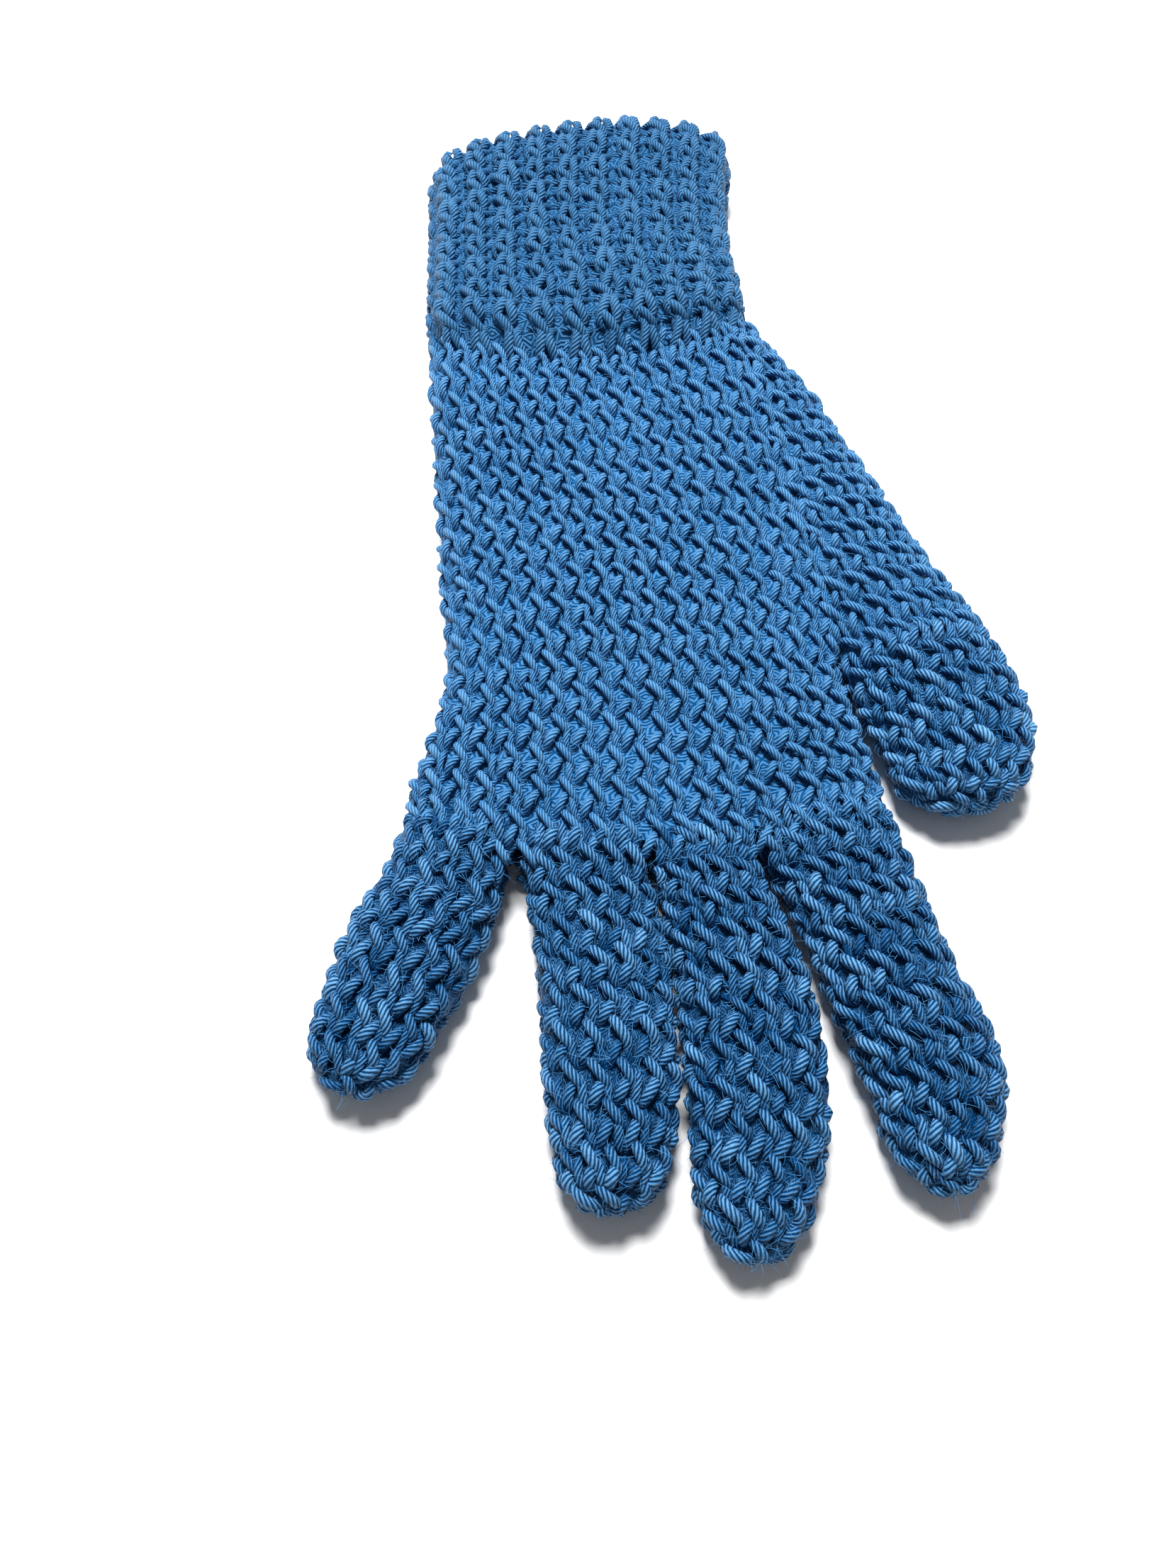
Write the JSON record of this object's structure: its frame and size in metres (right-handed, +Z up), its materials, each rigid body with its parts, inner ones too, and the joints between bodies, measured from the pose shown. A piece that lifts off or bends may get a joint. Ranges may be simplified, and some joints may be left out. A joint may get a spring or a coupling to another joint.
{
  "type": "wool glove",
  "caption": "Hand-knitted wool glove lying flat, with separate fingers, a thumb on a widened gusset and a ribbed cuff; hollow and open at the wrist.",
  "frame": {"origin": "on the floor under the middle of the glove's bounding box", "axes": "+Y towards the cuff, -Y towards the fingertips, +X towards the thumb, +Z up from the surface it lies on"},
  "size_m": [0.1348, 0.2708, 0.0214],
  "materials": {
    "knitted_wool": "matt fuzzy plied wool yarn in a textured stitch",
    "ribbed_wool": "matt fuzzy plied wool yarn in rib"
  },
  "bodies": {
    "root": {"cuff": "ribbed_wool", "hand": "knitted_wool", "thumb_gusset": "knitted_wool", "thumb": "knitted_wool", "index_finger": "knitted_wool", "middle_finger": "knitted_wool", "ring_finger": "knitted_wool", "little_finger": "knitted_wool"}
  },
  "joints": []
}
